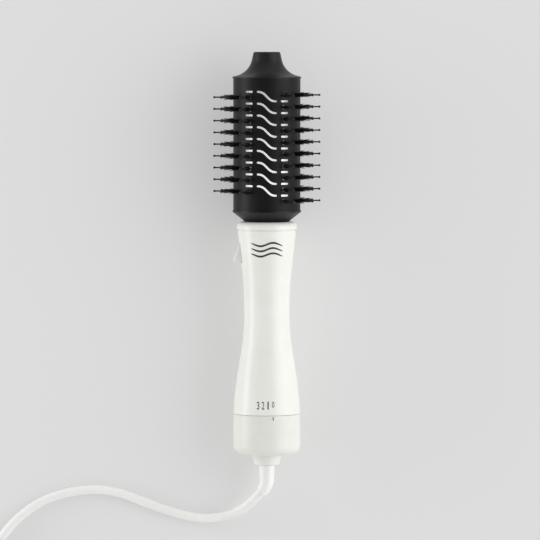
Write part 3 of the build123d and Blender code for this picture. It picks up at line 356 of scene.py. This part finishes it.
finishes = {
    # spark-eroded ABS: warm white, satin, an even eggshell grain
    "white_shell": mouldedPlastic("spark-eroded white ABS", {
        "colour": "F3F3EE", "tint": "EFEFE8", "flowMm": 22, "grainMm": 0.55, "depthMm": 0.02,
        "bump": 0.35, "roughLow": 0.3, "roughHigh": 0.42, "rub": 0.08, "ior": 1.53, "under": 0.15}),
    # the same ABS with a coarser mould, a shade greyer, for grip
    "grey_dial": mouldedPlastic("fine-grained pale grey ABS", {
        "colour": "ECECE6", "tint": "E7E7E0", "flowMm": 14, "grainMm": 0.7, "depthMm": 0.03,
        "bump": 0.45, "roughLow": 0.38, "roughHigh": 0.5, "rub": 0.08, "ior": 1.53, "under": 0.12}),
    # intake grille: white ABS, duller where dust and fingers reach
    "white_grille": mouldedPlastic("moulded white ABS grille", {
        "colour": "E9E9E3", "tint": "D9D8D0", "flowMm": 6, "grainMm": 0.6, "depthMm": 0.02, "bump": 0.35,
        "roughLow": 0.4, "roughHigh": 0.55, "rub": 0.12, "ior": 1.53}),
    # baked soft-touch lacquer on aluminium tube: deep black, broad soft highlight, slight orange peel
    "black_coat": mouldedPlastic("baked black lacquer", {
        "colour": "0C0C0D", "tint": "101012", "flowMm": 9, "grainMm": 1.1, "depthMm": 0.015, "bump": 0.3,
        "roughLow": 0.4, "roughHigh": 0.5, "rub": 0.08, "ior": 1.5, "specular": 0.2}),
    # glass-filled nylon: black, satin, faintly streaked
    "black_cap": mouldedPlastic("spark-eroded black nylon", {
        "colour": "0E0E0F", "tint": "151516", "flowMm": 7, "grainMm": 0.6, "depthMm": 0.02, "bump": 0.35,
        "roughLow": 0.36, "roughHigh": 0.46, "rub": 0.12, "ior": 1.53, "specular": 0.26}),
    # pins: polished black nylon, nearly glossy
    "black_pins": mouldedPlastic("polished black nylon", {
        "colour": "0E0E0F", "tint": "171718", "flowMm": 3, "grainMm": 0.5, "depthMm": 0.005, "bump": 0.2,
        "roughLow": 0.26, "roughHigh": 0.36, "rub": 0.06, "ior": 1.53, "specular": 0.3}),
    # tufts: drawn nylon thread, black with a dull sheen
    "black_bristle": mouldedPlastic("drawn black nylon thread", {
        "colour": "0B0B0C", "tint": "1B1A1A", "flowMm": 1.2, "grainMm": 0.3, "depthMm": 0.01,
        "bump": 0.3, "roughLow": 0.35, "roughHigh": 0.55, "rub": 0.1, "ior": 1.53, "specular": 0.2}),
    # liner under the vents: pale enamel, with painted light: an emission that stands in for the light seen
    # through the open barrel from the vents behind, stronger at the handle end and weaker at the closed tip
    "bright_liner": mouldedPlastic("pale heat-proof enamel with painted light", {
        "colour": "FCFCFA", "tint": "F4F4F2", "flowMm": 10, "grainMm": 0.8, "depthMm": 0.01, "bump": 0.2,
        "roughLow": 0.4, "roughHigh": 0.55, "rub": 0.05, "ior": 1.5, "paintedLight": (0.86, 0.34)}),
    # spigot, latch, heater base: grey glass-filled nylon with visible flow
    "spigot_grey": mouldedPlastic("glass-filled grey nylon", {
        "colour": "6E7072", "tint": "5C5E61", "flowMm": 4, "grainMm": 0.5, "depthMm": 0.03, "bump": 0.4,
        "roughLow": 0.45, "roughHigh": 0.62, "rub": 0.1, "ior": 1.53}),
    # fan: pale translucent nylon
    "fan_nylon": mouldedPlastic("natural moulded nylon", {
        "colour": "D8D2BE", "tint": "CBC3AB", "flowMm": 5, "grainMm": 0.5, "depthMm": 0.01, "bump": 0.25,
        "roughLow": 0.32, "roughHigh": 0.44, "rub": 0.06, "ior": 1.53, "under": 0.3}),
    # ducts and inner frames: black-grey nylon, dull
    "duct_nylon": mouldedPlastic("dull moulded nylon", {
        "colour": "3A3B3D", "tint": "2E2F31", "flowMm": 8, "grainMm": 0.7, "depthMm": 0.03, "bump": 0.4,
        "roughLow": 0.5, "roughHigh": 0.66, "rub": 0.08, "ior": 1.53}),
    # lead, strain relief and plug: soft PVC, extruded or moulded, smooth with a low sheen
    "cord_white": mouldedPlastic("extruded white PVC", {
        "colour": "F8F8F6", "tint": "F4F4F1", "flowMm": 24, "grainMm": 0.9, "depthMm": 0.02,
        "bump": 0.15, "roughLow": 0.3, "roughHigh": 0.4, "rub": 0.05, "ior": 1.54, "under": 0.15}),
    # pressed mica: greyish tan flakes, each of its own shade, with an uneven dull sheen
    "mica": layeredBoard("pressed mica sheet", {
        "colour": "B7A98C", "tint": "8F8067", "flakeMm": 2.2, "streak": (1, 0.5, 1), "roughLow": 0.35,
        "roughHigh": 0.6}),
    # paper laminate: dull brown, faintly mottled
    "board": layeredBoard("paper laminate board", {
        "colour": "8C6B3C", "tint": "7A5A30", "flakeMm": 1.4, "streak": (1, 0.3, 1), "roughLow": 0.45,
        "roughHigh": 0.65}),
    # woven gauze: black threads 0.5 mm apart, smoother on their crowns, with a painted sheen that makes the
    # crowns paler
    "filter_mesh": wovenMesh("woven black polyester gauze", {
        "colour": "060606", "tint": "2A2A2B", "threadMm": 0.8}),
    # drawn resistance wire: brown-grey, with bluish patches from the heat
    "heat_wire": workedMetal("heat-blued resistance wire", {
        "colour": "8A8178", "tint": "5B5F73", "streak": (1, 1, 1), "grainMm": 0.6, "stainMm": 9,
        "depthMm": 0.02, "roughLow": 0.3, "roughHigh": 0.5}),
    # zinc-plated steel: pale bluish grey, fine streaks along the brush
    "steel": workedMetal("zinc-plated steel", {
        "colour": "C9CBCD", "tint": "B4B8BC", "streak": (1, 0.2, 1), "grainMm": 0.5, "stainMm": 6,
        "depthMm": 0.01, "roughLow": 0.24, "roughHigh": 0.38}),
    # drawn spring steel: a darker grey, close streaks along the brush
    "spring_steel": workedMetal("drawn spring steel", {
        "colour": "A9ABAE", "tint": "8F9398", "streak": (1, 0.1, 1), "grainMm": 0.4, "stainMm": 5,
        "depthMm": 0.01, "roughLow": 0.22, "roughHigh": 0.34}),
    # deep-drawn can: satin, streaks down its side
    "motor_steel": workedMetal("deep-drawn motor can", {
        "colour": "B9BCBF", "tint": "A3A6A9", "streak": (1, 0.06, 1), "grainMm": 0.5, "stainMm": 12,
        "depthMm": 0.015, "roughLow": 0.28, "roughHigh": 0.42}),
    # rolled brass: yellow, browner where it has stained
    "contact_brass": workedMetal("rolled contact brass", {
        "colour": "D2B36A", "tint": "B08F4E", "streak": (0.2, 1, 1), "grainMm": 0.4, "stainMm": 4,
        "depthMm": 0.01, "roughLow": 0.25, "roughHigh": 0.4}),
    # plug pins and fuse: turned brass with bright nickel plate
    "pin_plate": workedMetal("nickel-plated turned pins", {
        "colour": "D9D5CB", "tint": "CBC6B9", "streak": (0.1, 1, 1), "grainMm": 0.3, "stainMm": 5,
        "depthMm": 0.008, "roughLow": 0.16, "roughHigh": 0.28}),
}
slotOf = {row["node"]: row["material_slot"] for row in frame["record"]["subparts"]}
for nodeName, node in nodes.items():
    node.data.materials.clear()
    node.data.materials.append(finishes[slotOf[nodeName]])
leadPiece.data.materials.append(finishes["cord_white"])
print("finishes on", len(slotOf), "pieces")

# Soft tufts round the pins. Real threads are about 0.2 mm across; these are 0.4, so that they show.
tufts = {"columnStep": 30.0, "rightTop": 278.2, "leftTop": 276.4, "pitch": 9.07, "hairs": 34,
         "root": 24.0, "tip": 34.0, "rootSpread": 1.35, "tipSpread": 2.2, "thick": 0.2,
         "rightRows": 10, "seed": 7, "rootLeast": 0.2, "tipLeast": 0.12, "uneven": 1.6, "bend": 1.6}


# Every hair is a three-sided tapered rod: it starts at a chance distance inside rootSpread of its pin, moves
# to one inside tipSpread as the way along it to the power bend, and ends at a quarter of its thickness.
# Rods, rings along a rod and sides are three directions of one array.
def makeTufts():
    steps = np.arange(1, 6)
    angles = np.concatenate([steps, -steps]) * tufts["columnStep"]
    tops = np.where(angles > 0, tufts["rightTop"], tufts["leftTop"])
    # the left columns have a row fewer, apart from the rearmost, which the brush lies on
    fewer = (angles < 0) & (angles > -5 * tufts["columnStep"])
    rows = tufts["rightRows"] - fewer
    row = np.arange(tufts["rightRows"])
    keep = row[None, :] < rows[:, None]
    height = (tops[:, None] - tufts["pitch"] * row[None, :])[keep]
    angle = np.radians(np.repeat(angles[:, None], tufts["rightRows"], 1)[keep])
    chance = np.random.default_rng(tufts["seed"])
    count = (len(height), tufts["hairs"])
    turn = chance.uniform(0, 2 * math.pi, count)
    near = tufts["rootSpread"] * np.sqrt(chance.uniform(tufts["rootLeast"], 1.0, count))
    far = tufts["tipSpread"] * np.sqrt(chance.uniform(tufts["tipLeast"], 1.0, count))
    reach = tufts["tip"] - chance.uniform(0.0, tufts["uneven"], count)
    along = np.array([0.0, 0.35, 0.7, 1.0])[None, None, :]
    out = tufts["root"] + (reach - tufts["root"])[..., None] * along
    spread = near[..., None] + (far - near)[..., None] * along ** tufts["bend"]
    thick = tufts["thick"] * np.array([1.0, 0.95, 0.8, 0.25])[None, None, :]
    side = np.array([0, 2, 4])[None, None, None, :] * math.pi / 3 + turn[..., None, None]
    across = spread[..., None] * np.cos(turn)[..., None, None] + thick[..., None] * np.cos(side)
    lift = spread[..., None] * np.sin(turn)[..., None, None] + thick[..., None] * np.sin(side)
    outward = np.broadcast_to(out[..., None], across.shape)
    a = angle[:, None, None, None]
    x = outward * np.sin(a) + across * np.cos(a)
    up = outward * np.cos(a) - across * np.sin(a)
    points = inRow(x, height[:, None, None, None] + lift, up).reshape(-1, 12, 3)
    start = points.shape[1] * np.arange(len(points))[:, None, None]
    quads = gridFaces(4, 3, closeColumns=True)[None] + start
    ends = np.array([[2, 1, 0], [9, 10, 11]])[None] + start
    faces = [*quads.reshape(-1, 4).tolist(), *ends.reshape(-1, 3).tolist()]
    return makeMesh("tufts", points, faces, smooth=False)


tuftPiece = makeTufts()
tuftPiece.data.materials.append(finishes["black_bristle"])
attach(tuftPiece, "brush_head")
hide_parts("bristle_tufts")
print("tufts grown,", len(tuftPiece.data.polygons), "faces")

# Prints on the grip and the dial
printInk, tree = newMaterial("screen-printed grey ink")  # thin and matt, a little uneven
inkPatch = addNode(tree, "TexNoise", {"Vector": objectPlace(tree), "Scale": perMm(0.6), "Detail": 3.0})
inkShare = addNode(tree, "MapRange", {"Value": inkPatch.outputs["Fac"], "From Min": 0.35, "From Max": 0.7})
inkColour = addNode(tree, "Mix", {0: inkShare.outputs[0], 6: linear("2B2C2B"), 7: linear("3A3B39")},
                    data_type="RGBA")
inkRough = addNode(tree, "MapRange", {"Value": inkPatch.outputs["Fac"], "From Min": 0.3, "From Max": 0.7,
                                      "To Min": 0.5, "To Max": 0.65})
shader = addNode(tree, "BsdfPrincipled", {"Base Color": inkColour.outputs[2],
                                          "Roughness": inkRough.outputs[0]})
addNode(tree, "OutputMaterial", {"Surface": shader.outputs[0]})

# Lift and thickness in metres; prints start this many mm over the axis.
ink = {"lift": 0.00003, "thick": 0.00006, "above": 32.0}


# Presses a flat print straight down on a node, just clear of it, and gives it thickness.
def layOn(piece, target):
    wrap = piece.modifiers.new("wrap", "SHRINKWRAP")
    wrap.target, wrap.wrap_method, wrap.use_project_z = target, "PROJECT", True
    wrap.use_negative_direction, wrap.use_positive_direction, wrap.offset = True, False, ink["lift"]
    solid = piece.modifiers.new("thickness", "SOLIDIFY")
    solid.thickness, solid.offset = ink["thick"], 1.0
    settle(piece)


# A figure as a flat mesh, scaled to that width and height in mm, centred at x, its top edge at height top.
def digitMesh(text, width, height, x, top):
    words = bpy.data.curves.new("figure", "FONT")
    words.body, words.size, words.resolution_u = text, 0.01, 6
    flat = bpy.data.objects.new("figure", words)
    bpy.context.scene.collection.objects.link(flat)
    mesh = bpy.data.meshes.new_from_object(flat.evaluated_get(bpy.context.evaluated_depsgraph_get()))
    bpy.data.objects.remove(flat)
    p = np.zeros(len(mesh.vertices) * 3)
    mesh.vertices.foreach_get("co", p)
    p = p.reshape(-1, 3)
    low, high = p.min(0), p.max(0)
    px = x + width * ((p[:, 0] - low[0]) / (high[0] - low[0]) - 0.5)
    ph = top - height + height * (p[:, 1] - low[1]) / (high[1] - low[1])
    mesh.vertices.foreach_set("co", inRow(px, ph, ink["above"]).ravel())
    mesh.update()
    return mesh


marks = {"figures": "3210", "angles": (-15.2, -6.5, 2.2, 10.9), "high": 42.6, "tall": (6.0, 6.0, 6.0, 4.6),
         "wide": (1.9, 1.9, 0.9, 1.7), "gripR": 25.8}
figureMeshes = [digitMesh(f, w, t, marks["gripR"] * math.sin(math.radians(a)), marks["high"])
                for f, w, t, a in zip(marks["figures"], marks["wide"], marks["tall"], marks["angles"])]
for i, mesh in enumerate(figureMeshes):
    figure = bpy.data.objects.new(f"mark_{marks['figures'][i]}", mesh)
    bpy.context.scene.collection.objects.link(figure)
    layOn(figure, nodes["grip_front"])
    figure.data.materials.clear()
    figure.data.materials.append(printInk)
    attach(figure, "handle")
print("figures printed")

emblem = {"middle": 159.8, "half": 12.2, "rise": 1.3, "gap": 4.0, "line": 1.5, "columns": 41, "above": 30.0,
          "waves": 1.25, "endThin": 0.02}


# Three waves one above another: each a ribbon whose middle is a sine of the way across, thin at both ends.
def makeEmblem():
    along = np.linspace(-1, 1, emblem["columns"])
    centre = emblem["rise"] * np.sin(along * math.pi * emblem["waves"])
    half = emblem["line"] / 2 * np.sqrt(np.clip(1 - along ** 4, emblem["endThin"], 1))
    low, high = centre - half, centre + half
    strip = np.stack([low, (low + high) / 2, high], 0)
    heights = emblem["middle"] + emblem["gap"] * np.array([-1, 0, 1])[:, None, None] + strip[None]
    x = np.broadcast_to(emblem["half"] * along, heights.shape)
    one = gridFaces(3, emblem["columns"])
    faces = (one[None] + strip.size * np.arange(3)[:, None, None]).reshape(-1, 4)
    return makeMesh("wave_emblem", inRow(x, heights, emblem["above"]), faces)


wavePiece = makeEmblem()
layOn(wavePiece, nodes["grip_front"])
wavePiece.data.materials.append(printInk)
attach(wavePiece, "handle")

tick = {"angle": 10.9, "dialR": 25.9, "from": 27.9, "to": 30.7, "half": 0.3, "rows": 6}
tickX = tick["dialR"] * math.sin(math.radians(tick["angle"])) + tick["half"] * np.array([[-1, 0, 1]])
tickHigh = np.linspace(tick["from"], tick["to"], tick["rows"])[:, None]
tickPiece = makeMesh("dial_tick", inRow(tickX, tickHigh, ink["above"]), gridFaces(tick["rows"], 3))
layOn(tickPiece, nodes["dial_ring"])
tickPiece.data.materials.append(printInk)
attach(tickPiece, "dial")
print("prints laid")
